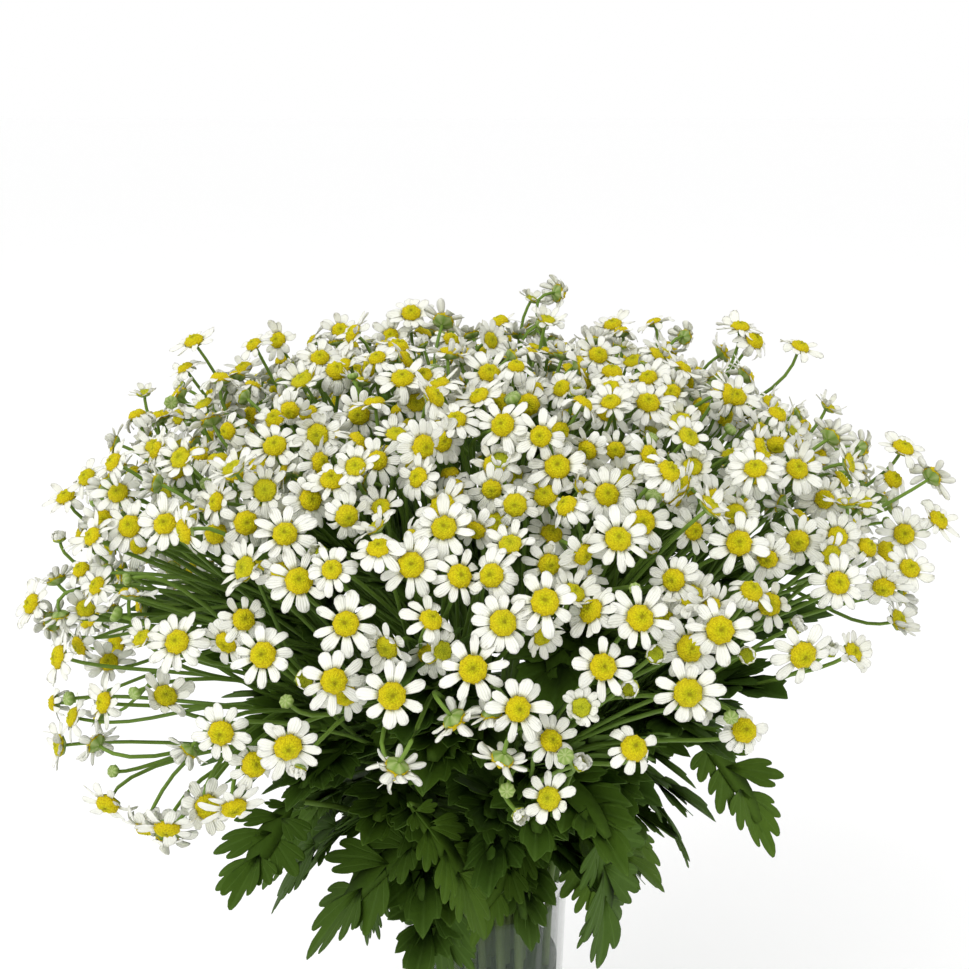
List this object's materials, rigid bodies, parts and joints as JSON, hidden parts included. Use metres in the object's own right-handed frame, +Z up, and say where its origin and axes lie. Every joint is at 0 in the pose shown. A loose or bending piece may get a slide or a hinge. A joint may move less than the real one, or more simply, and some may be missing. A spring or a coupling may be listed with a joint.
{
  "type": "bouquet of chamomile in a glass vase",
  "caption": "Dense dome of white and yellow chamomile blooms with lobed leaves on cut stems, standing in a tapered clear glass vase of water.",
  "frame": {"origin": "middle of the vase's foot, on the surface that it stands on", "axes": "+Z up the vase's axis; the bouquet's front, as pictured, faces -Y"},
  "size_m": [0.3298, 0.326, 0.3896],
  "materials": {
    "clear_glass": "gloss",
    "water": "gloss",
    "flowering_stem": "matte",
    "leaf_green": "matte",
    "petal_white": "matte",
    "disc_yellow": "matte",
    "stem_green": "matte"
  },
  "bodies": {
    "root": {"glass_vase": "clear_glass", "vase_water": "water", "flowering_stem_01": "flowering_stem", "flowering_stem_02": "flowering_stem", "flowering_stem_03": "flowering_stem", "flowering_stem_04": "flowering_stem", "flowering_stem_05": "flowering_stem", "flowering_stem_06": "flowering_stem", "flowering_stem_07": "flowering_stem", "flowering_stem_08": "flowering_stem", "flowering_stem_09": "flowering_stem", "flowering_stem_10": "flowering_stem", "flowering_stem_11": "flowering_stem", "flowering_stem_12": "flowering_stem", "flowering_stem_13": "flowering_stem", "flowering_stem_14": "flowering_stem", "flowering_stem_15": "flowering_stem", "flowering_stem_16": "flowering_stem", "flowering_stem_17": "flowering_stem", "flowering_stem_18": "flowering_stem", "flowering_stem_19": "flowering_stem", "flowering_stem_20": "flowering_stem", "flowering_stem_21": "flowering_stem", "flowering_stem_22": "flowering_stem", "flowering_stem_23": "flowering_stem", "flowering_stem_24": "flowering_stem", "leafy_stem_01": "leaf_green", "leafy_stem_02": "leaf_green", "leafy_stem_03": "leaf_green", "leafy_stem_04": "leaf_green", "leafy_stem_05": "leaf_green", "leafy_stem_06": "leaf_green", "leafy_stem_07": "leaf_green", "leafy_stem_08": "leaf_green"}
  },
  "joints": []
}
